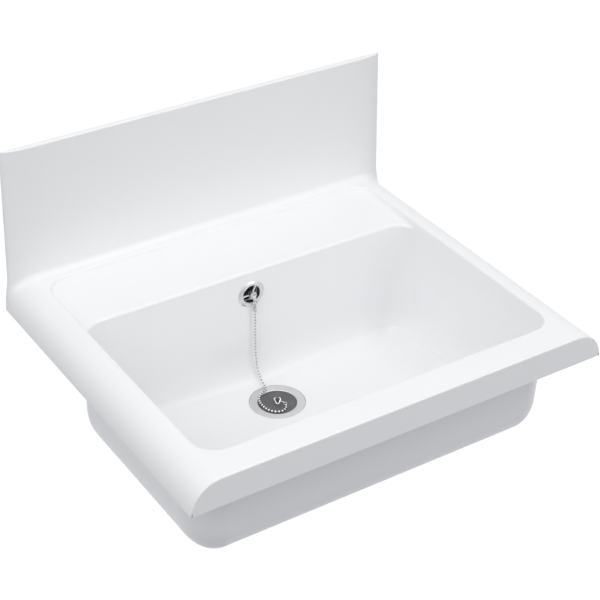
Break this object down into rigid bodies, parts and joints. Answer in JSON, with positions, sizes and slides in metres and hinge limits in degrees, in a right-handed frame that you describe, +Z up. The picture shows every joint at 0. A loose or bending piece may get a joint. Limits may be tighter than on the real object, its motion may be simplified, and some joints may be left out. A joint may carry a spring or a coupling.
{
  "type": "wall-hung mop service sink",
  "caption": "Wall-hung utility sink with rolled side edges, a sunken rear ledge and a splashback, fitted with a waste, an overflow and a plug on a ball chain.",
  "frame": {"origin": "on the wall plane, at mid width and at the height of the rim", "axes": "+X to the right along the width, +Y into the wall, +Z up"},
  "size_m": [0.55, 0.452, 0.426],
  "materials": {
    "cast_white": "gloss",
    "nylon_natural": "matte",
    "satin_steel": "satin",
    "black_rubber": "matte",
    "grey_rubber": "matte",
    "white_plastic": "satin",
    "black_plastic": "satin",
    "grey_plastic": "satin",
    "brass": "satin",
    "chrome_trim": "polished",
    "steel_wire": "polished",
    "chrome_chain": "polished"
  },
  "bodies": {
    "sink": {"sink_body": "cast_white", "fixing_bushes": "nylon_natural", "waste_flange": "satin_steel", "flange_seal": "black_rubber", "waste_screw": "satin_steel", "body_seal": "black_rubber", "waste_body": "white_plastic", "waste_insert": "brass", "overflow_rosette": "chrome_trim", "overflow_screw": "chrome_trim", "chain_stay": "chrome_trim", "overflow_seal": "black_rubber", "overflow_elbow": "black_plastic", "overflow_insert": "brass", "overflow_hose": "grey_plastic", "hose_nut_upper": "white_plastic", "hose_nut_lower": "white_plastic", "hose_seals": "black_rubber", "top_clasp": "chrome_trim", "chain_hanging": "chrome_chain"},
    "plug": {"plug": "grey_rubber", "chain_on_plug": "chrome_chain", "chain_tail": "chrome_chain"},
    "link": {"plug_link": "steel_wire", "end_coupling": "chrome_trim"}
  },
  "joints": [
    {"name": "plug_lift", "type": "slide", "parent": "sink", "child": "plug", "axis": [0, 0, 1], "range_m": [0, 0.02], "deforming": ["chain_hanging"]},
    {"name": "link_swing", "type": "hinge", "parent": "plug", "child": "link", "pos_m": [0.0004, -0.1812, -0.1632], "axis": [-0.8746, 0.4848, 0], "range_deg": [0, 115]}
  ]
}
